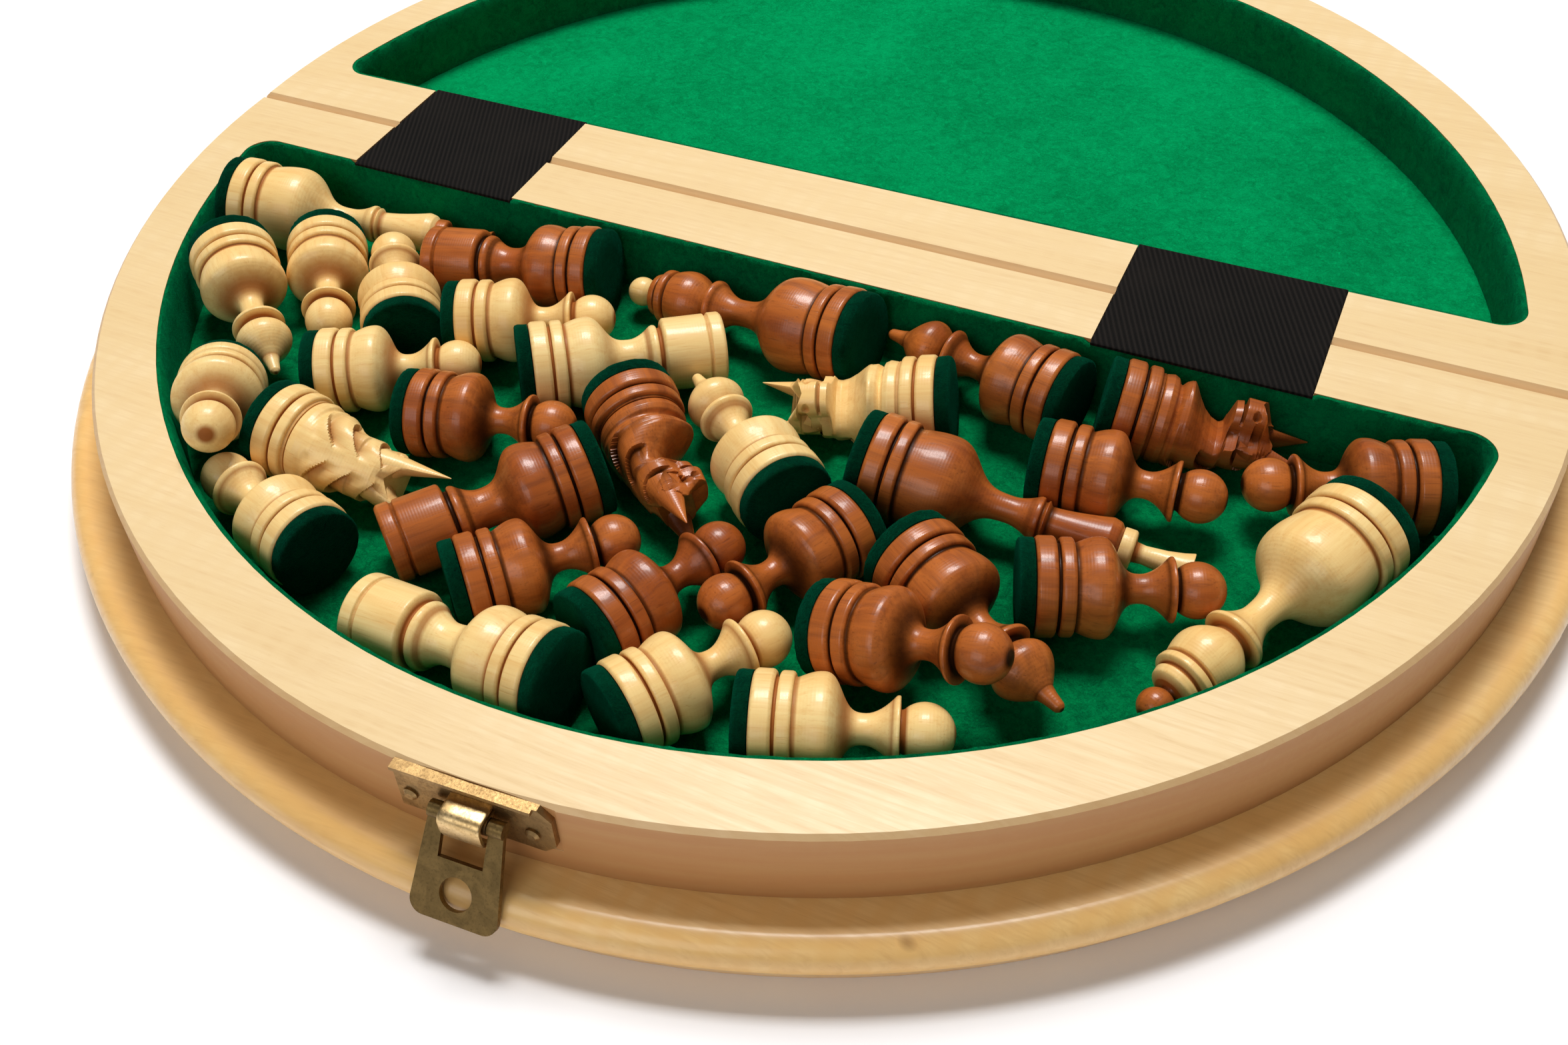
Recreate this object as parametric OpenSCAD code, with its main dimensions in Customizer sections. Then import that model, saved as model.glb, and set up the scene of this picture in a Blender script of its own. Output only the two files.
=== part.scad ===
// Round wooden chess box lying open: two half-disc trays on half-disc boards, joined along
// a straight seam by two webbing hinges, with a brass hasp and a set of turned pieces inside.
// Millimetres. Origin at the centre of the underside, X along the seam, +Y towards the
// empty lid half, +Z up.

/* [Boards] */
// how far the round board edge stands out beyond the tray wall
board_lip = 10; // [6:0.5:14]
// thickness of each board
board_thickness = 12; // [9:0.5:16]
// radius of the rounded upper board edge
rim_round = 4; // [2:0.5:5]
// how far the underside is tucked in below the rounded edge
rim_tuck = 3.5; // [0:0.5:6]
// how far each arc's centre lies beyond the seam
set_back = 4; // [0:0.5:6]
// gap between the two halves at the seam when open
seam_gap = 0.3; // [0.1:0.1:1]
// chamfer of the upper seam edges
seam_chamfer = 0.9; // [0:0.1:2]

/* [Trays] */
// outer radius of the tray walls
frame_radius = 150; // [130:1:155]
// height of the tray walls above the board
frame_height = 16; // [12:0.5:24]
// chamfer of the upper outer wall edge
frame_ease = 0.8; // [0.2:0.1:2]
// thickness of the curved tray wall
wall = 10; // [6:0.5:14]
// width of the bar between the seam and the straight side of the recess
bar_width = 16.5; // [12:0.5:24]
// radius of the two recess corners
recess_corner = 5.5; // [3:0.5:12]
// thickness of the felt on the tray floor
floor_felt = 1.2; // [0.6:0.1:2]
// thickness of the felt on the tray walls
wall_felt = 1.5; // [0.8:0.1:2.5]
// gap between the two halves when the box is shut
closed_gap = 0.2; // [0.1:0.05:0.6]

/* [Playing squares] */
// side of one playing square on the outside, as a share of the board radius
square_share = 0.1625; // [0.13:0.0025:0.165]
// thickness of the inlaid dark squares
square_inlay = 0.8; // [0.4:0.1:2]
// fine line left between neighbouring squares
square_line = 0.2; // [0.1:0.05:0.5]

/* [Webbing hinges] */
// width of the webbing
tape_width = 42; // [30:1:50]
// thickness of the webbing and depth of its rebates
tape_thickness = 0.8; // [0.4:0.1:1.5]
// distance from the tray's left end to the middle of the left webbing
tape_in_left = 60.5; // [50:0.5:80]
// distance from the tray's right end to the middle of the right webbing
tape_in_right = 65.5; // [50:0.5:80]

/* [Hasp] */
// place of the hasp along the seam direction
hasp_x = 8.7; // [-40:0.1:40]
// width of the fixed plate
plate_width = 27.5; // [20:0.5:36]
// thickness of the brass sheet
sheet = 1; // [0.6:0.1:1.6]
// height of the hasp's hinge pin above the underside
pin_z = 22.3; // [20:0.1:25]
// distance of the hinge pin from the tray wall
pin_out = 2.4; // [2:0.1:4]
// width of the rolled tab that holds the pin
tab_width = 7.5; // [5:0.5:10]
// width of the hasp at its pin
hasp_top = 13; // [10:0.5:18]
// width of the hasp at its free end
hasp_foot = 15.5; // [12:0.5:20]
// length of the hasp from its pin
hasp_length = 17.5; // [15:0.5:22]
// clearance between the hanging hasp and the rounded board edge
hasp_clear = 0.5119; // [0.2:0.001:2]
// distance of the stud hole from the pin
hole_from_pin = 12.5; // [11:0.5:15]
// radius of the stud hole
hole_r = 2.85; // [2:0.05:4]
// radius of the catch stud
stud_r = 2.5; // [1.8:0.05:3.6]

/* [Pieces] */
// size of the pieces, as a share of what fills the tray
piece_share = 1; // [0.8:0.01:1.06]
// thickness of the felt pad under each piece, before scaling to the king
pad = 3; // [2:0.5:4]
// gap left under a lying piece
lie_gap = 0.08; // [0.02:0.02:0.3]

/* [Hidden] */
$fn = 72;

board_radius = frame_radius + board_lip;
recess_radius = frame_radius - wall;
square_side = board_radius * square_share;
tape_left = tape_in_left - frame_radius;
tape_right = frame_radius - tape_in_right;
top_z = board_thickness + frame_height;
floor_z = board_thickness + floor_felt;
shut_z = 2 * top_z + closed_gap;
// The lying pieces are placed from the bar, for a recess 123.5 deep and 139 wide to either side
// and a king 62 high.
spread = min((recess_radius - bar_width) / 123.5,
             sqrt(recess_radius * recess_radius - bar_width * bar_width) / 139);
scale_to_king = piece_share * spread * 62 / 66;
big = 2 * board_radius + 20;

maple = [0.86, 0.72, 0.5];
golden = [0.82, 0.62, 0.36];
boxwood = [0.87, 0.72, 0.47];
rosewood = [0.45, 0.2, 0.09];
felt_green = [0.05, 0.42, 0.22];
webbing_black = [0.08, 0.08, 0.08];
brass_old = [0.5, 0.4, 0.2];

// Everything on the +Y side of the seam is cut away, leaving half the seam gap.
module near_side_only(h) {
  difference() {
    children();
    translate([-big / 2, -seam_gap / 2, -1]) cube([big, big, h + 2]);
  }
}

// The V along the upper seam edges, open at the top face.
module seam_vee() {
  translate([-big / 2, 0, top_z])
    rotate([45, 0, 0])
      translate([0, -seam_chamfer, -seam_chamfer]) cube([big, 2 * seam_chamfer, 2 * seam_chamfer]);
}

// Half-disc board with a rounded upper edge, its arc centred set_back from the seam.
module half_board() {
  edge = board_radius - rim_round;
  near_side_only(board_thickness)
    translate([0, -set_back, 0]) rotate_extrude($fn = 180) {
      square([edge, board_thickness]);
      translate([edge - 1, 0])
        polygon([[0, 0], [1 + rim_round - rim_tuck, 0],
                 [1 + rim_round, board_thickness - rim_round], [0, board_thickness - rim_round]]);
      intersection() {
        translate([edge, board_thickness - rim_round]) circle(rim_round, $fn = 48);
        translate([edge - 1, board_thickness - rim_round - 1]) square([rim_round + 2, rim_round + 2]);
      }
    }
}

// Squares of one half, near side; dark ones where column plus row is odd.
module near_square_pattern(grow, h) {
  for (col = [0:7], row = [0:3])
    if ((col + row) % 2 == 1) {
      first = row == 0 ? square_line : 0;
      translate([(col - 4) * square_side + square_line - grow,
                 -(row + 1) * square_side + square_line - grow, 0])
        cube([square_side - 2 * square_line + 2 * grow,
              square_side - 2 * square_line + 2 * grow - first, h]);
    }
}

// Plan of a recess on the near side, drawn in by the given inset on every side.
module recess_plan(inset) {
  r = recess_radius - inset;
  b = bar_width + inset;
  c = recess_corner - inset;
  cx = sqrt(pow(r - c, 2) - pow(b + c, 2));
  tip = sqrt(r * r - b * b);
  out = r / (r - c);
  difference() {
    circle(r, $fn = 180);
    translate([-r - 1, -b]) square([2 * r + 2, 2 * r]);
    for (side = [-1, 1])
      polygon([[side * cx, -b - c], [side * cx, -b], [side * cx, -b + 2], [side * (tip + 3), -b + 2],
               [side * cx * out * 1.02, -(b + c) * out * 1.02], [side * cx * out, -(b + c) * out]]);
  }
  for (side = [-1, 1]) translate([side * cx, -b - c]) circle(c, $fn = 48);
}

// Seats cut into the tray wall so that the flat brass plates bed on the curved wood.
module plate_seat(x, z_low, z_high) {
  a = asin(x / frame_radius);
  translate([0, -set_back, 0]) rotate([0, 0, a])
    translate([-plate_width / 2 - 0.3, -frame_radius - 2, z_low - 0.3])
      cube([plate_width + 0.6, 2.75, z_high - z_low + 0.6]);
}

module tape_rebates() {
  for (x = [tape_left, tape_right])
    translate([x - tape_width / 2 - 0.1, -bar_width - 1, top_z - tape_thickness])
      cube([tape_width + 0.2, 2 * bar_width + 2, tape_thickness + 1]);
}

// Tray wall and hinge bar of one half, near side.
module half_frame() {
  near_side_only(top_z)
    difference() {
      translate([0, -set_back, 0]) rotate_extrude($fn = 180)
        polygon([[0, board_thickness], [frame_radius, board_thickness],
                 [frame_radius, top_z - frame_ease], [frame_radius - frame_ease, top_z], [0, top_z]]);
      translate([0, 0, board_thickness - 1]) linear_extrude(frame_height + 2) recess_plan(0);
      seam_vee();
    }
}

module half_floor_felt() {
  translate([0, 0, board_thickness]) linear_extrude(floor_felt) recess_plan(0.05);
}

module half_wall_felt() {
  translate([0, 0, floor_z]) linear_extrude(top_z - floor_z) difference() {
    recess_plan(0);
    recess_plan(wall_felt);
  }
}

module turned_about() { rotate([0, 0, 180]) children(); }

// Boards with the inlaid playing squares on the outside.
module near_board() {
  color(golden) difference() {
    half_board();
    translate([0, 0, -1]) near_square_pattern(square_line / 4, square_inlay + 1);
  }
}
module far_board() { turned_about() near_board(); }
module near_squares() { color(rosewood) near_square_pattern(0, square_inlay); }
module far_squares() { turned_about() near_squares(); }

module near_frame() {
  color(maple) difference() {
    half_frame();
    tape_rebates();
    plate_seat(hasp_x, plate_low, plate_high);
  }
}
module far_frame() {
  color(maple) difference() {
    turned_about() half_frame();
    tape_rebates();
    mirror([0, 1, 0]) plate_seat(hasp_x, catch_low, catch_high);
  }
}
module near_floor_felt() { color(felt_green) half_floor_felt(); }
module far_floor_felt() { color(felt_green) turned_about() half_floor_felt(); }
module near_wall_felt() {
  color(felt_green) difference() { half_wall_felt(); tape_rebates(); }
}
module far_wall_felt() {
  color(felt_green) difference() { turned_about() half_wall_felt(); tape_rebates(); }
}

// Webbing let flush into the bars, ribbed along the seam direction.
module tape(x) {
  color(webbing_black)
    translate([x - tape_width / 2, -bar_width - 1 + 0.05, top_z - tape_thickness + 0.02])
      cube([tape_width, 2 * bar_width + 1.9, tape_thickness - 0.02]);
}
module hinge_tape_left() { tape(tape_left); }
module hinge_tape_right() { tape(tape_right); }

// Hasp geometry, in a frame turned so that -Y points straight out of the tray wall.
hasp_turn = asin(hasp_x / frame_radius);
plate_back = frame_radius - 0.75;
plate_low = 17;
plate_high = 27.6;
catch_low = 16.2;
catch_high = 26.6;
barrel_r = 1.5;
pin_r = 0.6;
bore_r = 0.75;
nail_left = -11.5;
nail_right = 10;
nail_z = 20.9;
nail_r = 1.3;
pivot_y = -frame_radius - pin_out;
// The hanging hasp touches a circle that clears the board's rounded edge.
edge_out = board_lip - rim_round - pin_out;
edge_down = pin_z - (board_thickness - rim_round);
hasp_lean = atan2(edge_out, edge_down)
  + asin((rim_round + sheet / 2 + hasp_clear) / sqrt(edge_out * edge_out + edge_down * edge_down));
stud_z = 2 * top_z + closed_gap - (pin_z + hole_from_pin);

module at_hasp() { translate([0, -set_back, 0]) rotate([0, 0, hasp_turn]) children(); }
module at_catch() { mirror([0, 1, 0]) at_hasp() children(); }

// Flat plate on the wall with one clipped corner and a small lip along its top.
module wall_plate(low, high, clip) {
  translate([0, -plate_back, 0]) rotate([90, 0, 0]) linear_extrude(sheet + 0.2)
    polygon([[-plate_width / 2, low], [plate_width / 2 - clip, low], [plate_width / 2, low + clip],
             [plate_width / 2, high - clip], [plate_width / 2 - clip, high], [-plate_width / 2, high]]);
}

module x_rod(r, len) { rotate([0, 90, 0]) cylinder(r = r, h = len, center = true, $fn = 36); }

module hasp_base_plate() {
  arm = pin_out + frame_radius - plate_back;
  color(brass_old) at_hasp() difference() {
    union() {
      difference() {
        wall_plate(plate_low, plate_high, 2.2);
        for (x = [nail_left, nail_right]) translate([x, -plate_back + 1, nail_z])
          rotate([90, 0, 0]) cylinder(r = 0.7, h = 4, $fn = 24);
      }
      translate([-plate_width / 2, -plate_back - sheet - 1, plate_high - 0.8])
        cube([plate_width - 3, 1.2, 0.8]);
      translate([0, pivot_y, pin_z]) x_rod(barrel_r, tab_width);
      translate([-tab_width / 2, pivot_y, pin_z + bore_r + 0.05]) cube([tab_width, arm - 0.5, 0.7]);
    }
    translate([0, pivot_y, pin_z]) x_rod(bore_r, tab_width + 4);
  }
}

// Hasp at its hanging place: knuckles, pin and a flared plate with a window and a stud hole.
module hasp_plate() {
  knuckle = (hasp_top - tab_width) / 2 - 0.15;
  lip = hasp_foot / 2 - 2.5;
  color(brass_old) at_hasp() translate([0, pivot_y, pin_z]) rotate([-hasp_lean, 0, 0]) {
    difference() {
      rotate([90, 0, 0]) translate([0, 0, -sheet / 2]) linear_extrude(sheet) difference() {
        union() {
          polygon([[-hasp_top / 2, 0], [hasp_top / 2, 0], [hasp_foot / 2, -hasp_length + 2.5],
                   [lip, -hasp_length + 2.5], [lip, -hasp_length],
                   [-lip, -hasp_length], [-lip, -hasp_length + 2.5], [-hasp_foot / 2, -hasp_length + 2.5]]);
          for (side = [-1, 1]) translate([side * lip, -hasp_length + 2.5]) circle(2.5, $fn = 36);
        }
        translate([-tab_width / 2 - 0.2, -7.2]) square([tab_width + 0.4, 9]);
        translate([0, -hole_from_pin]) circle(hole_r, $fn = 36);
      }
    }
    x_rod(pin_r, hasp_top - 0.4);
    for (side = [-1, 1])
      translate([side * (hasp_top / 2 - knuckle / 2), 0, 0]) x_rod(barrel_r - 0.1, knuckle);
  }
}

module nail_head(x, z) {
  translate([x, -plate_back - sheet - 0.2, z]) rotate([90, 0, 0]) {
    cylinder(r = nail_r, h = 0.4, $fn = 30);
    translate([0, 0, 0.4]) cylinder(r1 = nail_r, r2 = nail_r * 0.55, h = 0.4, $fn = 30);
    translate([0, 0, -sheet - 0.2]) cylinder(r = 0.7, h = sheet + 0.2, $fn = 24);
  }
}
module hasp_nails() {
  color(brass_old) at_hasp() for (x = [nail_left, nail_right]) nail_head(x, nail_z);
}

// Catch plate on the lid half, with the stud that the hasp's hole drops over.
module catch_plate() {
  color(brass_old) at_catch() difference() {
    wall_plate(catch_low, catch_high, 2.2);
    translate([0, -plate_back + 1, stud_z]) rotate([90, 0, 0]) cylinder(r = 1.6, h = 4, $fn = 30);
    for (x = [nail_left, nail_right]) translate([x, -plate_back + 1, stud_z])
      rotate([90, 0, 0]) cylinder(r = 0.7, h = 4, $fn = 24);
  }
}
module catch_stud() {
  neck = pin_out + frame_radius - plate_back + 0.3;
  color(brass_old) at_catch() {
    translate([0, -plate_back, stud_z]) rotate([90, 0, 0]) {
      cylinder(r = 1.6, h = neck, $fn = 30);
      translate([0, 0, neck]) cylinder(r1 = stud_r, r2 = stud_r * 0.8, h = 1, $fn = 36);
    }
    for (x = [nail_left, nail_right]) nail_head(x, stud_z);
  }
}

// Turned pieces. Profiles are [radius, distance from the pad's face], king 66 high.
function foot(r) = [[r - 0.5, pad], [r, pad + 0.5], [r, pad + 3.3], [r - 0.5, pad + 3.8],
  [r - 1.4, pad + 3.8], [r - 1.4, pad + 4.4], [r - 0.6, pad + 4.4], [r - 0.2, pad + 4.8],
  [r - 0.2, pad + 6.6], [r - 0.6, pad + 7], [r - 1.2, pad + 7], [r - 1.2, pad + 7.5]];

// Swelling from the foot to [rb, sb], hollow curve to the neck [rn, sn], flare to the collar.
function swell(r, rb, sb, rn, sn, rc, sc) = concat(
  [for (i = [1:4]) let (t = i / 4)
    [r - 1.2 + (rb - r + 1.2) * sin(90 * t), pad + 7.5 + (sb - pad - 7.5) * t]],
  [for (i = [1:9]) let (t = i / 9) [rb + (rn - rb) * (1 - cos(180 * t)) / 2, sb + (sn - sb) * t]],
  [for (i = [1:4]) let (t = i / 4) [rn + (rc - rn) * pow(t, 1.8), sn + (sc - sn) * t]]);

function ball(s, r, a0) = [for (i = [0:8]) let (a = a0 + (178 - a0) * i / 8) [r * sin(a), s - r * cos(a)]];

function egg(s0, s1, r0, r1, fat, skew) =
  [for (i = [0:8]) let (t = i / 8) [r0 + (r1 - r0) * t + fat * sin(180 * pow(t, skew)), s0 + (s1 - s0) * t]];

pawn_head = concat([[6, 27.8], [3.6, 27.9]], ball(32, 5.2, 46));
rook_head = [[6.6, 29.2], [6.4, 29.8], [5.8, 30], [5.8, 30.6], [7.4, 31], [7.8, 31.4], [8, 43.4], [7.4, 44]];
bishop_head = concat([[5.8, 29.4], [3.4, 29.6]], egg(30.4, 40, 3.2, 1.9, 3.4, 0.8),
  [[1.5, 41.5], [1.1, 44], [0.5, 44.6]]);
queen_head = concat([[6, 38.3], [3.6, 38.6]], egg(39.4, 53, 3.4, 4.6, 2.9, 0.9), [[4.4, 53.4], [3, 54.4]]);
king_head = concat([[4.4, 36.8], [3.6, 37], [3.6, 37.4], [4.2, 37.8]],
  [for (i = [0:5]) let (t = i / 5) [3.2 + 1.8 * pow(t, 1.5), 38.4 + 11.6 * t]], [[4.6, 51.6], [3.6, 52.4]]);
king_finial = [[4, 52.4], [4, 54.6], [3.6, 55], [2, 55.2], [1.8, 57], [2.2, 61], [2.8, 64], [3.4, 66]];
queen_finial = ball(57.8, 3.3, 28);

// One closed turning from a profile.
module turning(points) {
  first = points[0];
  last = points[len(points) - 1];
  rotate_extrude($fn = 48) polygon(concat([[0, first[1]]], points, [[0, last[1]]]));
}

module foot_pad(r) { cylinder(r = r - 0.3, h = pad, $fn = 48); }

module pawn() {
  foot_pad(9.3);
  turning(concat(foot(9.3), swell(9.3, 9.3, 14.6, 2.7, 22, 6, 27.2), pawn_head));
}
module rook() {
  foot_pad(10);
  turning(concat(foot(10), swell(10, 9.8, 14.6, 4, 24, 6.4, 28.6), rook_head));
}
module bishop() {
  foot_pad(9.8);
  turning(concat(foot(9.8), swell(9.8, 9.6, 15, 2.6, 23.5, 5.8, 28.6), bishop_head));
}
module queen() {
  foot_pad(10.6);
  turning(concat(foot(10.6), swell(10.6, 10.4, 16.5, 2.9, 31.5, 6, 37.5), queen_head));
  turning(concat([[2, 54.4]], queen_finial));
}
module king() {
  foot_pad(10.6);
  turning(concat(foot(10.6), swell(10.6, 10.2, 16.5, 2.7, 31, 4.4, 36), king_head));
  turning(king_finial);
}

// Horse head: side view cut from a tapering turned blank, with a notched mane.
horse_side = [[-8.4, 10.5], [8.4, 10.5], [7.6, 15], [5, 20], [3.6, 23.5], [6, 24.5], [6.6, 27],
  [6.2, 30.5], [3.6, 34.5], [3.4, 39.5], [1, 36.5], [-1.2, 39], [-3, 33.5], [-5.8, 26], [-7.4, 18]];
horse_blank = [[9.2, 10.5], [9, 14], [8, 18], [7, 23], [6.7, 30], [6, 35], [4.2, 40]];
module knight() {
  foot_pad(10);
  turning(concat(foot(10), [[8.6, 10.6]]));
  difference() {
    intersection() {
      turning(horse_blank);
      rotate([90, 0, 0]) linear_extrude(24, center = true) polygon(horse_side);
    }
    for (i = [0:3], side = [-1, 1])
      translate([-7.5 + 0.9 * i, side * (5.6 - 0.25 * i), 16 + 5 * i]) rotate([side * 45, 25, 0])
        cube([7, 1.6, 1.6], center = true);
    for (side = [-1, 1]) translate([5.6, side * 6.4, 27.4]) rotate([90, 0, 0])
      cylinder(r = 0.8, h = 2.6, center = true, $fn = 20);
    translate([0, 0, 40]) cube([20, 3.4, 9], center = true);
  }
}

// Lying on the tray floor: x, y of the pad's face, heading of the tip in degrees, lift of
// the foot and of the tip above the floor, and turn about the piece's own axis. Each kind has
// [length, axis height at the pad, axis height at the tip] for rest on a flat floor.
pawn_lie = [37.2, 9.3, 9.3];
rook_lie = [44, 10.69, 7.95];
bishop_lie = [44.6, 9.94, 8.92];
queen_lie = [61.1, 12.27, 5.15];
king_lie = [66, 11.88, 4.94];
knight_lie = [40, 10.99, 5.68];

module lying(kind, x, y, heading, foot_lift = 0, tip_lift = 0, turn = 0) {
  a = kind[1] * scale_to_king + foot_lift * spread;
  b = kind[2] * scale_to_king + tip_lift * spread;
  pitch = asin((b - a) / (kind[0] * scale_to_king));
  translate([x * spread, (y + 16.5) * spread - bar_width, floor_z + lie_gap + a])
    rotate([0, 90 - pitch, heading]) rotate([0, 0, turn])
    scale(scale_to_king) children();
}

module dark_king() { color(rosewood) lying(king_lie, 33.5, -61.5, 2) king(); }
module dark_queen() { color(rosewood) lying(queen_lie, 22.1, -29.7, 175) queen(); }
module dark_bishop_1() { color(rosewood) lying(bishop_lie, 65, -30, 169) bishop(); }
module dark_bishop_2() { color(rosewood) lying(bishop_lie, 49, -78, -32) bishop(); }
module dark_knight_1() { color(rosewood) lying(knight_lie, 69.5, -28.5, 7, turn = 170) knight(); }
module dark_knight_2() { color(rosewood) lying(knight_lie, -16, -60.5, -44, turn = 100) knight(); }
module dark_rook_1() { color(rosewood) lying(rook_lie, -38, -27, -169) rook(); }
module dark_rook_2() { color(rosewood) lying(rook_lie, -10.5, -80.5, -131) rook(); }
module dark_pawn_1() { color(rosewood) lying(pawn_lie, 62.5, -47.5, 5) pawn(); }
module dark_pawn_2() { color(rosewood) lying(pawn_lie, 131, -26.5, -159) pawn(); }
module dark_pawn_3() { color(rosewood) lying(pawn_lie, -54.5, -80.5, 14) pawn(); }
module dark_pawn_4() { color(rosewood) lying(pawn_lie, -20.5, -117, 45) pawn(); }
module dark_pawn_5() { color(rosewood) lying(pawn_lie, 6.5, -117.5, 66) pawn(); }
module dark_pawn_6() { color(rosewood) lying(pawn_lie, 39, -74, -117) pawn(); }
module dark_pawn_7() { color(rosewood) lying(pawn_lie, 43, -100.5, -4, 1, 11.5) pawn(); }
module dark_pawn_8() { color(rosewood) lying(pawn_lie, 69.5, -78, 21) pawn(); }

module light_king() { color(boxwood) lying(king_lie, -132, -36, 13) king(); }
module light_queen() { color(boxwood) lying(queen_lie, 121, -42.5, -116) queen(); }
module light_bishop_1() { color(boxwood) lying(bishop_lie, -118, -54, -40, 4) bishop(); }
module light_bishop_2() { color(boxwood) lying(bishop_lie, 26, -75.5, 141) bishop(); }
module light_knight_1() { color(boxwood) lying(knight_lie, 44, -39.5, -164, turn = 150) knight(); }
module light_knight_2() { color(boxwood) lying(knight_lie, -76, -95, -3, turn = 90) knight(); }
module light_rook_1() { color(boxwood) lying(rook_lie, -39.1, -62.75, 36.5) rook(); }
module light_rook_2() { color(boxwood) lying(rook_lie, 9.5, -128.3, 178) rook(); }
module light_pawn_1() { color(boxwood) lying(pawn_lie, -104.2, -38.65, -53) pawn(); }
module light_pawn_2() { color(boxwood) lying(pawn_lie, -68, -61, 129) pawn(); }
module light_pawn_3() { color(boxwood) lying(pawn_lie, -62.1, -53.35, 24) pawn(); }
module light_pawn_4() { color(boxwood) lying(pawn_lie, -79.5, -78.15, 27) pawn(); }
module light_pawn_5() { color(boxwood) lying(pawn_lie, -94.5, -86.5, -51, 0, 13) pawn(); }
module light_pawn_6() { color(boxwood) lying(pawn_lie, -46.5, -119, 162) pawn(); }
module light_pawn_7() { color(boxwood) lying(pawn_lie, 18.5, -131, 57) pawn(); }
module light_pawn_8() { color(boxwood) lying(pawn_lie, 38, -123, 19) pawn(); }

near_board();
far_board();
near_squares();
far_squares();
near_frame();
far_frame();
near_floor_felt();
far_floor_felt();
near_wall_felt();
far_wall_felt();
hinge_tape_left();
hinge_tape_right();
hasp_base_plate();
hasp_plate();
hasp_nails();
catch_plate();
catch_stud();
dark_king();
dark_queen();
dark_bishop_1();
dark_bishop_2();
dark_knight_1();
dark_knight_2();
dark_rook_1();
dark_rook_2();
dark_pawn_1();
dark_pawn_2();
dark_pawn_3();
dark_pawn_4();
dark_pawn_5();
dark_pawn_6();
dark_pawn_7();
dark_pawn_8();
light_king();
light_queen();
light_bishop_1();
light_bishop_2();
light_knight_1();
light_knight_2();
light_rook_1();
light_rook_2();
light_pawn_1();
light_pawn_2();
light_pawn_3();
light_pawn_4();
light_pawn_5();
light_pawn_6();
light_pawn_7();
light_pawn_8();
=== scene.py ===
"""Round wooden chess box lying open, its turned pieces tumbled in the near tray. Lengths are in millimetres
until a mesh is made, where MM turns them into metres."""

import bpy
from math import asin, atan2, cos, hypot, pi, radians, sin, sqrt
from mathutils import Matrix, Vector, noise
from mathutils.geometry import delaunay_2d_cdt


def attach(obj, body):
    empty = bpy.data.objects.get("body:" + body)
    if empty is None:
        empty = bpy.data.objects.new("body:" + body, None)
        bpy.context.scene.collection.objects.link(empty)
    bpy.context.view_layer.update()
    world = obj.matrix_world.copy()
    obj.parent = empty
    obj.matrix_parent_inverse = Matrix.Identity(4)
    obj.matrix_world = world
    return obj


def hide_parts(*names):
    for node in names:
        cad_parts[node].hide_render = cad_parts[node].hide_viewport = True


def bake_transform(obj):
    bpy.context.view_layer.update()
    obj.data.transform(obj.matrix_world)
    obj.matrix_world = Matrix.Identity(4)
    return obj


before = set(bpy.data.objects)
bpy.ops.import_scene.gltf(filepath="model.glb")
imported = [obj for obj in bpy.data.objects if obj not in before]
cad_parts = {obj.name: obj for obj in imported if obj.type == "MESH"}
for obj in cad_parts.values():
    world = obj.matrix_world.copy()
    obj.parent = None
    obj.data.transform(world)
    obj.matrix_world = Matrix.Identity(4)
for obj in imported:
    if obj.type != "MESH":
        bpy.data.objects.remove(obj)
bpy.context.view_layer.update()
MM = 0.001
scene = bpy.context.scene

# Camera
PHOTO_WIDE, PHOTO_HIGH = 2352, 1568
FOCAL_PX = 2402.518
CENTRE_X, CENTRE_Y = 1110.335, 706.056
CAMERA_AT = Vector((116.245, -259.785, 226.282)) * MM
CAMERA_AXES = Matrix((
    (0.89987, 0.43320, -0.05067), (-0.26585, 0.63690, 0.72366), (0.34576, -0.63773, 0.68829)))

camera_data = bpy.data.cameras.new("camera")
camera_data.sensor_fit = "HORIZONTAL"
camera_data.sensor_width = 36
camera_data.lens = 36 * FOCAL_PX / PHOTO_WIDE
camera_data.shift_x = (PHOTO_WIDE / 2 - CENTRE_X) / PHOTO_WIDE
camera_data.shift_y = (CENTRE_Y - PHOTO_HIGH / 2) / PHOTO_WIDE
camera_data.clip_start = 0.01
camera = bpy.data.objects.new("camera", camera_data)
scene.collection.objects.link(camera)
camera.matrix_world = Matrix.Translation(CAMERA_AT) @ CAMERA_AXES.transposed().to_4x4()
scene.camera = camera


# Materials
def tint(r, g, b):
    """A linear colour from display values of 0 to 255."""
    lin = [c / 255 / 12.92 if c <= 10 else ((c / 255 + 0.055) / 1.055) ** 2.4 for c in (r, g, b)]
    return (*lin, 1)


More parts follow.
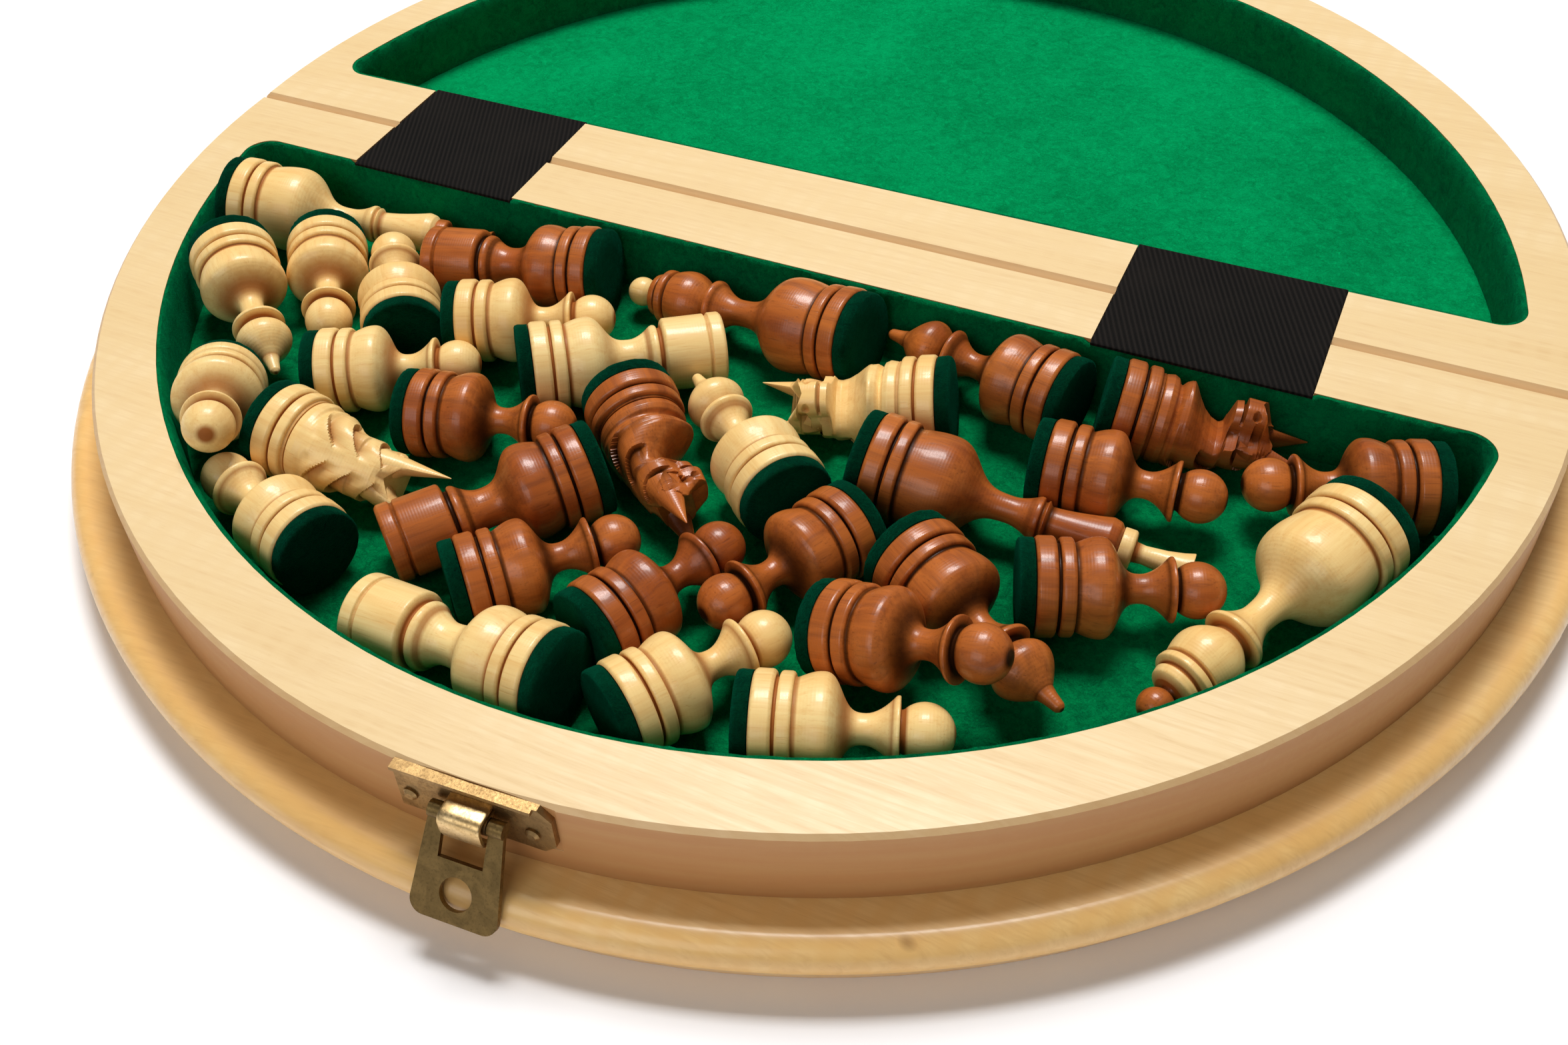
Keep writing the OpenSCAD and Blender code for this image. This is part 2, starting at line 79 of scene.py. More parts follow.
class Shader:
    """A Principled material that is being put together. Texture scales are per metre."""

    def __init__(self, name, **constants):
        self.material = bpy.data.materials.new(name)
        self.material.use_nodes = True
        self.tree = self.material.node_tree
        self.out = next(n for n in self.tree.nodes if n.type == "BSDF_PRINCIPLED")
        for key, value in constants.items():
            self.out.inputs[key.replace("_", " ")].default_value = value
        self.coords = self.node("ShaderNodeTexCoord").outputs["Object"]

    def node(self, kind, inputs=(), **settings):
        n = self.tree.nodes.new(kind)
        for key, value in settings.items():
            setattr(n, key, value)
        for key, value in dict(inputs).items():
            self.feed(n.inputs[key], value)
        return n

    def feed(self, socket, value):
        if isinstance(value, bpy.types.NodeSocket):
            self.tree.links.new(value, socket)
        else:
            socket.default_value = value

    def place(self, scale, turn=(0, 0, 0)):
        return self.node(
            "ShaderNodeMapping", {"Vector": self.coords, "Scale": scale, "Rotation": turn}).outputs[0]

    def noise(self, scale, detail=4, rough=0.55, distort=0.0, turn=(0, 0, 0)):
        values = {"Vector": self.place(scale, turn), "Scale": 1, "Detail": detail, "Roughness": rough,
                  "Distortion": distort}
        return self.node("ShaderNodeTexNoise", values).outputs["Fac"]

    def wave(self, scale, pitch, distort=0.0, turn=(0, 0, 0), detail=2.0, profile="SIN"):
        """Bands across X with the given pitch in metres."""
        values = {"Vector": self.place(scale, turn), "Scale": pi / 10 / pitch, "Distortion": distort,
                  "Detail": detail}
        return self.node("ShaderNodeTexWave", values, wave_type="BANDS", wave_profile=profile).outputs["Fac"]

    def spots(self, scale, low, high):
        """1 inside small round spots, 0 outside."""
        cells = self.node("ShaderNodeTexVoronoi", {"Vector": self.place(scale), "Scale": 1, "Randomness": 1})
        return self.span(cells.outputs["Distance"], low, high, 1, 0)

    def span(self, value, low, high, to_low=0.0, to_high=1.0):
        values = {"Value": value, "From Min": low, "From Max": high, "To Min": to_low, "To Max": to_high}
        return self.node("ShaderNodeMapRange", values, clamp=True).outputs[0]

    def sum(self, op, a, b):
        n = self.node("ShaderNodeMath", operation=op)
        self.feed(n.inputs[0], a)
        self.feed(n.inputs[1], b)
        return n.outputs[0]

    def mix(self, share, a, b):
        n = self.node("ShaderNodeMix", data_type="RGBA")
        self.feed(n.inputs[0], share)
        self.feed(n.inputs[6], a)
        self.feed(n.inputs[7], b)
        return n.outputs[2]

    def stored(self, name):
        return self.node("ShaderNodeAttribute", attribute_name=name).outputs["Fac"]

    def on_piece(self):
        """Lays the texture on a turned piece along its own axis, shifted so that no two have the same figure."""
        n = self.node("ShaderNodeVectorMath", operation="ADD")
        self.feed(n.inputs[0], self.node("ShaderNodeAttribute", attribute_name="own").outputs["Vector"])
        spread = self.node("ShaderNodeCombineXYZ", {axis: self.stored("seed") for axis in "XYZ"})
        self.feed(n.inputs[1], spread.outputs[0])
        self.coords = n.outputs[0]

    def colour(self, value):
        self.feed(self.out.inputs["Base Color"], value)

    def rough(self, value):
        self.feed(self.out.inputs["Roughness"], value)

    def bump(self, height, strength, distance):
        n = self.node("ShaderNodeBump", {"Height": height, "Strength": strength, "Distance": distance})
        self.feed(self.out.inputs["Normal"], n.outputs[0])


def turned_wood(name, pale, mid, deep, groove_shade, gloss, coat, grain):
    s = Shader(name, Coat_Roughness=0.12)
    s.on_piece()
    # The groove amount darkens the wood towards the groove colour and dims its coat and specular: painted shade
    # in grooves and cuts.
    cut = s.stored("groove_shade")
    s.feed(s.out.inputs["Coat Weight"], s.span(cut, 0.05, 0.45, coat, 0))
    s.feed(s.out.inputs["Specular IOR Level"], s.span(cut, 0.05, 0.45, 0.36, 0.1))
    streaks = s.noise((520, 520, 42), 6, 0.62, 0.5)
    clouds = s.noise((60, 60, 22), 3, 0.5, 0.8)
    pores = s.span(s.noise((2600, 2600, 130), 3, 0.7), 0.56, 0.72)
    wood = s.mix(s.span(clouds, 0.36, 0.64), mid, pale)
    wood = s.mix(s.span(streaks, 0.42, 0.7, 0, grain), wood, deep)
    wood = s.mix(s.sum("MULTIPLY", pores, grain), wood, deep)
    s.colour(s.mix(s.span(cut, 0.05, 0.8, 0, 0.95), wood, groove_shade))
    s.rough(s.span(streaks, 0.3, 0.75, gloss, gloss + 0.18))
    marks = s.wave((0, 0, 1), 0.00055, 1.2, (0, pi / 2, 0))
    s.bump(s.sum("ADD", s.sum("MULTIPLY", marks, 0.35), s.sum("MULTIPLY", pores, -0.5)), 0.22, 0.00012)
    return s.material


def flat_wood(name, pale, mid, deep, gloss, coat, figure, side=None, knots=0.0, grain=0.5):
    """Boards and tray wood, its grain along the seam. figure is the share of the wavy cross figure."""
    s = Shader(name, Coat_Weight=coat, Coat_Roughness=0.2)
    streaks = s.noise((45, 900, 500), 7, 0.6, 0.7)
    clouds = s.noise((9, 38, 38), 4, 0.55, 1.4)
    curl = s.span(s.wave((1, 0.25, 0.2), 0.0052, 5.5, (0, 0, 0.16), 2.5), 0.25, 0.85)
    flecks = s.span(s.noise((150, 1900, 900), 3, 0.75), 0.60, 0.74)
    wood = s.mix(s.span(clouds, 0.34, 0.66), mid, pale)
    wood = s.mix(s.span(streaks, 0.42, 0.78, 0, grain), wood, deep)
    wood = s.mix(s.sum("MULTIPLY", curl, figure), wood, mid)
    wood = s.mix(s.sum("MULTIPLY", flecks, grain * 0.5), wood, deep)
    if knots:
        wood = s.mix(s.sum("MULTIPLY", s.spots((55, 75, 55), 0.03, 0.1), knots), wood, tint(122, 66, 26))
    # Upright faces turn to the side colour: partly the wall wood's own browner tone, partly painted warm light
    # bounced up from the board.
    if side:
        normal = s.node(
            "ShaderNodeSeparateXYZ", {"Vector": s.node("ShaderNodeNewGeometry").outputs["True Normal"]})
        upright = s.span(s.sum("ABSOLUTE", normal.outputs["Z"], 0), 0.5, 0.85, 1, 0)
        wall = s.mix(s.span(s.noise((22, 22, 420), 5, 0.55, 0.4), 0.42, 0.75, 0, 0.4), side, deep)
        wood = s.mix(upright, wood, wall)
    s.colour(wood)
    s.rough(s.span(streaks, 0.3, 0.75, gloss, gloss + 0.16))
    s.bump(s.sum("ADD", streaks, s.sum("MULTIPLY", flecks, -0.6)), 0.16, 0.00015)
    return s.material


def felt(name, lit, deep, sheen_tint):
    s = Shader(name, Roughness=1.0, Sheen_Weight=0.18, Sheen_Roughness=0.5, Sheen_Tint=sheen_tint,
               Specular_IOR_Level=0.02)
    fibres = s.noise((1100, 1100, 1100), 7, 0.72, 2.6)
    tufts = s.noise((330, 330, 330), 4, 0.6, 1.2)
    clouds = s.noise((28, 28, 28), 3, 0.5, 0.4)
    shade = s.sum("ADD", s.sum("MULTIPLY", fibres, 0.6), s.sum("MULTIPLY", tufts, 0.4))
    shade = s.sum("ADD", shade, s.sum("MULTIPLY", s.sum("SUBTRACT", clouds, 0.5), 0.25))
    s.colour(s.mix(s.span(shade, 0.36, 0.60), deep, lit))
    s.bump(shade, 1.0, 0.0008)
    return s.material


def webbing(name):
    s = Shader(name, Roughness=0.85, Specular_IOR_Level=0.12)
    ribs = s.wave((1, 1, 1), 0.00105, 0.25, (0, 0, radians(-24)))
    threads = s.noise((5200, 900, 900), 4, 0.7, 0.0, (0, 0, radians(-24)))
    weave = s.sum("ADD", s.sum("MULTIPLY", ribs, 0.7), s.sum("MULTIPLY", threads, 0.5))
    worn = s.noise((70, 70, 70), 3, 0.5)
    dark = s.mix(s.span(weave, 0.25, 0.95), tint(8, 7, 6), tint(30, 26, 23))
    s.colour(s.mix(s.span(worn, 0.45, 0.75, 0, 0.3), dark, tint(34, 29, 25)))
    s.bump(weave, 0.8, 0.0003)
    return s.material


def old_brass(name, bright, dull, dark, gloss):
    s = Shader(name, Metallic=1.0)
    patches = s.noise((330, 330, 330), 5, 0.6, 0.8)
    specks = s.noise((2100, 2100, 2100), 4, 0.7)
    metal = s.mix(s.span(patches, 0.38, 0.62), bright, dull)
    s.colour(s.mix(s.span(specks, 0.52, 0.72, 0, 0.6), metal, dark))
    s.rough(s.span(specks, 0.3, 0.7, gloss, gloss + 0.22))
    s.bump(s.sum("ADD", patches, specks), 0.25, 0.0001)
    return s.material


# The fourth colour of each turned wood is the painted shade laid into its grooves.
LIGHT_WOOD = turned_wood("light_wood", tint(255, 222, 152), tint(250, 206, 130), tint(230, 172, 92),
                         tint(160, 88, 34), 0.32, 0.2, 0.5)
DARK_WOOD = turned_wood("dark_wood", tint(202, 114, 48), tint(164, 82, 30), tint(90, 38, 11),
                        tint(26, 10, 4), 0.28, 0.22, 0.45)
# The tray wood's side colour is partly its own browner tone and partly painted bounce light from the board.
TRAY_WOOD = flat_wood("tray_wood", tint(241, 213, 163), tint(234, 202, 147), tint(208, 164, 104),
                      0.42, 0.1, 0.42, side=tint(198, 140, 84), grain=0.42)
BOARD_WOOD = flat_wood("board_wood", tint(255, 212, 140), tint(248, 196, 118), tint(220, 162, 88),
                       0.3, 0.35, 0.5, knots=0.5)
SQUARE_WOOD = flat_wood("square_wood", tint(132, 70, 36), tint(104, 50, 24), tint(60, 26, 13), 0.3, 0.35, 0.3)
FELT = felt("green_felt", tint(1, 172, 98), tint(0, 126, 66), (0.0, 0.8, 0.4, 1))
# The near tray's floor felt is the lid's green felt painted darker: painted shade.
SHADED_NEAR_FELT = felt("near_felt_shaded", tint(1, 140, 76), tint(0, 78, 40), (0.0, 0.8, 0.4, 1))
# Both wall felts are the same green felt painted darker: painted shade.
SHADED_WALL_FELT = felt("wall_felt", tint(1, 128, 70), tint(0, 74, 38), (0.0, 0.8, 0.4, 1))
PAD_FELT = felt("pad_felt", tint(2, 46, 25), tint(0, 10, 5), (0.0, 0.8, 0.4, 1))
WEBBING = webbing("black_webbing")
BRASS = old_brass("old_brass", tint(176, 144, 96), tint(150, 120, 78), tint(104, 82, 54), 0.34)
OLIVE_BRASS = old_brass("olive_brass", tint(142, 116, 72), tint(120, 98, 60), tint(84, 66, 40), 0.36)
LIP_BRASS = old_brass("bright_brass", tint(246, 214, 158), tint(220, 184, 126), tint(160, 124, 78), 0.26)


# Meshes
def add(name, points, faces, material, sharp=40):
    mesh = bpy.data.meshes.new(name)
    mesh.from_pydata([Vector(p) * MM for p in points], [], faces)
    mesh.validate()
    mesh.shade_smooth()
    mesh.set_sharp_from_angle(angle=radians(sharp))
    mesh.materials.append(material)
    obj = bpy.data.objects.new(name, mesh)
    scene.collection.objects.link(obj)
    return obj


def store(obj, name, values):
    attribute = obj.data.attributes.new(name, "FLOAT", "POINT")
    attribute.data.foreach_set("value", values)


def soften(profile, cut=0.28):
    """Rounds the corners of a profile of (radius, distance) points."""
    points = [profile[0]]
    for before, here, after in zip(profile, profile[1:], profile[2:]):
        a, p, b = Vector(before), Vector(here), Vector(after)
        back, on = a - p, b - p
        if back.length < 1e-6 or on.length < 1e-6 or (-back).angle(on) < radians(22):
            points.append(here)
            continue
        back, on = (back.normalized() * min(cut, back.length * 0.45),
                    on.normalized() * min(cut, on.length * 0.45))
        for t in (0, 0.33, 0.67, 1):
            q = p + back * (1 - t) ** 2 + on * t ** 2
            points.append((q.x, q.y))
    points.append(profile[-1])
    return points


def turning(profile, segments=64):
    """A solid of revolution about Z, with the depth of its grooves stored for the material, which paints shade
    into them.
    """
    rings = soften(profile)
    points, faces, groove_shade = [], [], []
    for r, s in rings:
        # How far a ring lies below its neighbours, kept as the amount of painted shade in its grooves.
        near = [q for q, at in rings if abs(at - s) < 1.1]
        depth = min(1, max(0, (sum(near) / len(near) - r) / 0.8 + (max(near) - r) / 3.2 - 0.1))
        for i in range(segments):
            a = 2 * pi * i / segments
            points.append((r * cos(a), r * sin(a), s))
            groove_shade.append(depth)
    for k in range(len(rings) - 1):
        for i in range(segments):
            j = (i + 1) % segments
            faces.append((k * segments + i, k * segments + j, (k + 1) * segments + j, (k + 1) * segments + i))
    last = (len(rings) - 1) * segments
    faces.append(tuple(range(segments - 1, -1, -1)))
    faces.append(tuple(range(last, last + segments)))
    return points, faces, groove_shade


# Turned pieces
KING_HEIGHT, PAD, FLOOR, LIE_GAP = 62, 3, 13.2, 0.08
SCALE = KING_HEIGHT / 66


def foot(r):
    return [(r - 0.5, PAD), (r, PAD + 0.5), (r, PAD + 3.3), (r - 0.5, PAD + 3.8), (r - 1.4, PAD + 3.8),
            (r - 1.4, PAD + 4.4), (r - 0.6, PAD + 4.4), (r - 0.2, PAD + 4.8), (r - 0.2, PAD + 6.6),
            (r - 0.6, PAD + 7), (r - 1.2, PAD + 7), (r - 1.2, PAD + 7.5)]


def swell(r, rb, sb, rn, sn, rc, sc):
    rise = [(r - 1.2 + (rb - r + 1.2) * sin(pi / 2 * t / 8), PAD + 7.5 + (sb - PAD - 7.5) * t / 8)
            for t in range(1, 9)]
    hollow = []
    for t in range(1, 25):
        on = (t / 24) ** 0.86
        share = on ** 2.5 / (on ** 2.5 + (1 - on) ** 2.5)
        hollow.append((rb + (rn - rb) * share, sb + (sn - sb) * t / 24))
    flare = [(rn + (rc - rn) * (t / 8) ** 1.8, sn + (sc - sn) * t / 8) for t in range(1, 9)]
    return rise + hollow + flare


def ball(s, r, start):
    turns = [radians(start + (178 - start) * i / 20) for i in range(21)]
    return [(r * sin(a), s - r * cos(a)) for a in turns]


def egg(s0, s1, r0, r1, fat, skew):
    return [(r0 + (r1 - r0) * t / 20 + fat * sin(pi * (t / 20) ** skew), s0 + (s1 - s0) * t / 20)
            for t in range(21)]


PAWN = foot(9.3) + swell(9.3, 9.3, 14.6, 2.7, 22, 6, 27.2) + [(6, 27.8), (3.6, 27.9)] + ball(32, 5.2, 46)
ROOK = foot(10) + swell(10, 9.8, 14.6, 4, 24, 6.4, 28.6) + [
    (6.6, 29.2), (6.4, 29.8), (5.8, 30), (5.8, 30.6), (7.4, 31), (7.8, 31.4), (7.9, 40.2), (7.4, 40.4),
    (7.4, 40.9), (8, 41.1), (8, 43.4), (7.4, 44), (1, 44)]
BISHOP = foot(9.8) + swell(9.8, 9.6, 15, 2.6, 23.5, 5.8, 28.6) + [(5.8, 29.4), (3.4, 29.6)] + egg(
    30.4, 40, 3.2, 1.9, 3.4, 0.8) + [(1.5, 41.5), (1.1, 44), (0.5, 44.6), (0.1, 44.6)]
QUEEN = foot(10.6) + swell(10.6, 10.4, 16.5, 2.9, 31.5, 6, 37.5) + [(6, 38.3), (3.6, 38.6)] + egg(
    39.4, 48.6, 3.6, 6.0, 1.9, 0.9) + [(5.2, 48.8), (5.2, 49.3), (6.1, 49.6), (6.2, 50.9), (5.6, 51.3),
    (4.6, 51.4), (4.6, 51.8), (5.0, 52.2), (4.6, 53.6), (3, 54.4), (1, 54.4)]
QUEEN_FINIAL = [(2, 54.4)] + ball(57.8, 3.3, 28)
KING = foot(10.6) + swell(10.6, 10.2, 16.5, 2.7, 31, 4.4, 36) + [
    (4.4, 36.8), (3.6, 37), (3.6, 37.4), (4.2, 37.8)] + [
    (3.2 + 1.8 * (i / 8) ** 1.5, 38.4 + 11.6 * i / 8) for i in range(9)] + [
    (4.6, 51.6), (3.6, 52.4), (1, 52.4)]
KING_FINIAL = [(1, 52.4), (4, 52.4), (4, 54.6), (3.6, 55), (2, 55.2), (1.8, 57), (2.2, 61), (2.8, 64),
    (3.4, 66), (1, 66)]


def between(table, s):
    """Linear reading of a table of (distance, value)."""
    for (s0, v0), (s1, v1) in zip(table, table[1:]):
        if s <= s1:
            return v0 + (v1 - v0) * max(0, s - s0) / (s1 - s0)
    return table[-1][1]


NECK = 10.4
# Side view of the carved head, as (distance, reach) towards the muzzle, towards the mane and to either side.
HORSE_FRONT = [(10.4, 8.0), (10.9, 8.8), (12.4, 9.1), (13.4, 8.6), (13.9, 7.6), (14.3, 7.5), (15, 8.6),
    (15.9, 9.4), (16.4, 9.3), (17.2, 7.9), (18.4, 5.4), (20, 3.0), (21.6, 1.5), (23.2, 0.8),
    (24.2, 1.4), (24.6, 4.7), (25, 5.6), (26.5, 6.0), (27.1, 6.9), (31, 6.9), (31.6, 6.1), (33.4, 3.9),
    (35.4, 2.6)]
HORSE_BACK = [(10.4, -8.0), (10.9, -8.8), (12.4, -9.1), (16, -8.9), (19, -8.2), (23, -7.0), (27, -6.2),
    (31, -5.0), (33.4, -3.6), (35.4, -2.2)]
HORSE_WIDE = [(10.4, 8.0), (10.9, 8.8), (12.4, 9.1), (13.4, 8.8), (13.9, 8.1), (14.3, 8.1), (15.2, 8.8),
    (17, 8.6), (19, 7.9), (22, 7.0), (25, 6.5), (28, 6.4), (31, 6.1), (33.4, 5.3), (35.4, 3.8)]
# Pitch of the mane's cuts, top of the head, and where the ears start inside it.
FEATHER, HEAD_TOP, EAR_FROM = 5.4, 33.6, 27.5
# For each knight: how much further its muzzle reaches, where its ears end and how far it is rolled.
KNIGHTS = {"dark_knight_1": (2.2, 41, 0), "dark_knight_2": (0.5, 41, 0), "light_knight_1": (1.6, 40, 0),
           "light_knight_2": (0, 42.5, -52)}


def horse(reach, tip, segments=112, rings=150):
    """Head carved above a turned swelling: keeled chest, hollow throat, square muzzle, feathered mane and
    forked ears. reach lengthens the muzzle, and tip is where the ears end."""
    points, faces, groove_shade = [], [], []
    for k in range(rings):
        s = NECK + (HEAD_TOP - NECK) * k / (rings - 1)
        front, rear, wide = between(HORSE_FRONT, s), between(HORSE_BACK, s), between(HORSE_WIDE, s)
        if s > 24.2:
            front += reach * min(1, (s - 24.2) / 0.8) * max(0, min(1, (33 - s) / 2.0))
        mid, half = (front + rear) / 2, (front - rear) / 2
        carved = max(0, min(1, (s - 14.3) / 2.5))
        head = max(0, min(1, (s - 23.6) / 1.2))
        keel = max(0, 1 - abs(s - 16) / 2.4)
        for i in range(segments):
            a = 2 * pi * i / segments
            c, n = cos(a), sin(a)
            box = 1 - head * (0.5 if c > 0 else 0.12)
            x = mid + half * abs(c) ** box * (1 if c > 0 else -1)
            y = wide * abs(n) ** (1 - 0.25 * carved) * (1 if n > 0 else -1)
            if c > 0:
                y *= 1 - 0.4 * keel * c * c
            muzzle = max(0, min(1, (x - 1.0) / 2.4)) * head
            y *= 1 - muzzle * (0.42 if s < 31 else 0.25)
            ridge = abs(y)
            depth = 0.0
            if c < 0.45 and s > 14.6:
                phase = ((s + 0.9 * ridge) / FEATHER) % 1
                share = min(1, (0.45 - c) * 3) * min(1, (s - 14.6) / 1.5) * max(0, min(1, (ridge - 1.3) / 2.2))
                share *= max(0, min(1, (34.5 - s) / 2))
                depth = 1.7 * max(0, 1 - phase / 0.8) ** 1.3 * share
            end = 6.9 + reach
            nostril = hypot(x - end + 1.4, s - 29.2)
            if nostril < 0.9 and abs(y) > 1.4:
                depth = max(depth, 1.4 * (1 - nostril / 0.9) ** 0.5)
            if x > end - 4 and 26.3 < s < 27.0:
                depth = max(depth, 1.3 * min(1, (x - end + 4) / 1.5))
            eye = hypot(x + 0.4, (s - 31.4) * 1.2)
            if 1.1 < eye < 1.8 and abs(y) > 1:
                depth = max(depth, 0.45)
            inward = Vector((x - mid, y, 0))
            inward = inward.normalized() if inward.length > 1e-6 else Vector((1, 0, 0))
            p = Vector((x, y, s)) - inward * (0.8 * depth)
            if s > 29:
                p.z = 29 + (s - 29) * (0.4 + 0.6 * min(1, abs(p.y) / 3.6))
            points.append(tuple(p))
            # The cuts of mane, nostrils, mouth and eyes get painted shade as well.
            groove_shade.append(min(1, depth * 0.4) * carved)
    for k in range(rings - 1):
        for i in range(segments):
            j = (i + 1) % segments
            faces.append((k * segments + i, k * segments + j, (k + 1) * segments + j, (k + 1) * segments + i))
    last = (rings - 1) * segments
    faces.append(tuple(range(segments - 1, -1, -1)))
    faces.append(tuple(range(last, last + segments)))
    # Each ear is a pointed, slightly hollow wedge that leans outwards.
    for side in (-1, 1):
        first, round_it = len(points), 12
        for k in range(9):
            t = k / 8
            centre = Vector((-0.9 + 1.2 * t, side * (2.2 + 3.4 * t), EAR_FROM + (tip - EAR_FROM) * t))
            for i in range(round_it):
                a = 2 * pi * i / round_it
                girth = 1 - 0.97 * t
                hollow = 0.35 if -side * sin(a) > 0.4 and 0.3 < t < 0.95 else 0
                across = 3.4 * (1 - hollow) * girth * sin(a)
                points.append(tuple(centre + Vector((4.2 * girth * cos(a), across, 0))))
                # The hollow of each ear gets painted shade.
                groove_shade.append(0.4 if hollow else 0.0)
        for k in range(8):
            for i in range(round_it):
                j = (i + 1) % round_it
                row = first + k * round_it
                faces.append((row + i, row + j, row + round_it + j, row + round_it + i))
    return points, faces, groove_shade


# How far a felt pad stays inside its foot, and the texture's shift from a piece to its finial
# and the next piece.
PAD_INSET, FINIAL_SEED, SEED_STEP = 0.35, 0.31, 0.137


def cushion(r):
    """The felt disc under a piece: a thick pad with a ragged edge."""
    points, faces = [], []
    levels = [(r * 0.55, 0.0), (r - 0.5, 0.0), (r - 0.12, 0.25), (r, 0.9), (r, 2.0), (r - 0.1, 2.8),
        (r * 0.5, 2.95)]
    segments = 72
    for k, (radius, s) in enumerate(levels):
        for i in range(segments):
            a = 2 * pi * i / segments
            q = Vector((cos(a) * r, sin(a) * r, s)) * 1.3
            ragged = radius + 0.16 * noise.noise(q) * (1 if 1 < k < 6 else 0.3) + 0.08 * noise.noise(q * 3.1)
            points.append((ragged * cos(a), ragged * sin(a), s + 0.05 * noise.noise(q * 1.7) * (k < 2)))
    for k in range(len(levels) - 1):
        for i in range(segments):
            j = (i + 1) % segments
            faces.append((k * segments + i, k * segments + j, (k + 1) * segments + j, (k + 1) * segments + i))
    last = (len(levels) - 1) * segments
    faces.append(tuple(range(segments - 1, -1, -1)))
    faces.append(tuple(range(last, last + segments)))
    return points, faces


# Each kind: turning, foot radius, [length, axis height at the pad, axis height at the tip].
KINDS = {
    "pawn": (PAWN, 9.3, (37.2, 9.3, 9.3)),
    "rook": (ROOK, 10, (44, 10.69, 7.95)),
    "bishop": (BISHOP, 9.8, (44.6, 9.94, 8.92)),
    "queen": (QUEEN, 10.6, (61.1, 12.27, 5.15)),
    "king": (KING, 10.6, (66, 11.88, 4.94)),
    "knight": (foot(10) + [(8.9, 10.6), (7, 10.7)], 10, (40, 10.99, 5.68)),
}
# x, y of the pad's face, heading of the tip, lift of the foot, lift of the tip, turn about the axis.
PLACES = {
    "dark_king": (33.5, -61.5, 2, 0, 0, 0), "dark_queen": (22.1, -29.7, 175, 0, 0, 0),
    "dark_bishop_1": (65, -30, 169, 0, 0, 0), "dark_bishop_2": (49, -78, -32, 0, 0, 0),
    "dark_knight_1": (69.5, -28.5, 7, 0, 0, 170), "dark_knight_2": (-16, -60.5, -44, 0, 0, 100),
    "dark_rook_1": (-38, -27, -169, 0, 0, 0), "dark_rook_2": (-10.5, -80.5, -131, 0, 0, 0),
    "dark_pawn_1": (62.5, -47.5, 5, 0, 0, 0), "dark_pawn_2": (131, -26.5, -159, 0, 0, 0),
    "dark_pawn_3": (-54.5, -80.5, 14, 0, 0, 0), "dark_pawn_4": (-20.5, -117, 45, 0, 0, 0),
    "dark_pawn_5": (6.5, -117.5, 66, 0, 0, 0), "dark_pawn_6": (39, -74, -117, 0, 0, 0),
    "dark_pawn_7": (43, -100.5, -4, 1, 11.5, 0), "dark_pawn_8": (69.5, -78, 21, 0, 0, 0),
    "light_king": (-132, -36, 13, 0, 0, 0), "light_queen": (121, -42.5, -116, 0, 0, 0),
    "light_bishop_1": (-118, -54, -40, 4, 0, 0), "light_bishop_2": (26, -75.5, 141, 0, 0, 0),
    "light_knight_1": (44, -39.5, -164, 0, 0, 150), "light_knight_2": (-76, -95, -3, 0, 0, 90),
    "light_rook_1": (-39.1, -62.75, 36.5, 0, 0, 0), "light_rook_2": (9.5, -128.3, 178, 0, 0, 0),
    "light_pawn_1": (-104.2, -38.65, -53, 0, 0, 0), "light_pawn_2": (-68, -61, 129, 0, 0, 0),
    "light_pawn_3": (-62.1, -53.35, 24, 0, 0, 0), "light_pawn_4": (-79.5, -78.15, 27, 0, 0, 0),
    "light_pawn_5": (-94.5, -86.5, -51, 0, 13, 0), "light_pawn_6": (-46.5, -119, 162, 0, 0, 0),
    "light_pawn_7": (18.5, -131, 57, 0, 0, 0), "light_pawn_8": (38, -123, 19, 0, 0, 0),
}


def lying(kind, x, y, heading, foot_lift, tip_lift, turn):
    length, at_pad, at_tip = KINDS[kind][2]
    a, b = at_pad * SCALE + foot_lift, at_tip * SCALE + tip_lift
    pitch = asin((b - a) / (length * SCALE))
    return (Matrix.Translation(Vector((x, y, FLOOR + LIE_GAP + a)) * MM)
            @ Matrix.Rotation(radians(heading), 4, "Z")
            @ Matrix.Rotation(pi / 2 - pitch, 4, "Y") @ Matrix.Rotation(radians(turn), 4, "Z"))


def scaled(points):
    return [(x * SCALE, y * SCALE, z * SCALE) for x, y, z in points]


def dress(name, part, shape, material, place, body, seed):
    points, faces, groove_shade = shape
    obj = add(f"{name}_{part}", scaled(points), faces, material)
    store(obj, "groove_shade", groove_shade)
    store(obj, "seed", [seed] * len(points))
    own = obj.data.attributes.new("own", "FLOAT_VECTOR", "POINT")
    own.data.foreach_set("vector", [c for v in obj.data.vertices for c in v.co])
    obj.data.transform(place)
    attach(obj, body)
    return obj


def joined(one, other):
    shift = len(one[0])
    return one[0] + other[0], one[1] + [tuple(i + shift for i in f) for f in other[1]], one[2] + other[2]


def piece(name, seed):
    colour, kind = name.split("_")[:2]
    profile, r, _ = KINDS[kind]
    material, other = (DARK_WOOD, LIGHT_WOOD) if colour == "dark" else (LIGHT_WOOD, DARK_WOOD)
    place, body = lying(kind, *PLACES[name]), f"{name}_body"
    shape = turning(profile)
    if kind == "knight":
        reach, tip, roll = KNIGHTS[name]
        shape = joined(shape, horse(reach, tip))
        place = place @ Matrix.Rotation(radians(roll), 4, "Z")
    wood = dress(name, "wood", shape, material, place, body, seed)
    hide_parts(name)
    if kind in ("king", "queen"):
        top = KING_FINIAL if kind == "king" else QUEEN_FINIAL
        dress(name, "finial", turning(top), other, place, body, seed + FINIAL_SEED)
    points, faces = cushion(r - PAD_INSET)
    pad = add(f"{name}_pad", scaled(points), faces, PAD_FELT, 60)
    pad.data.transform(place)
    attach(pad, body)


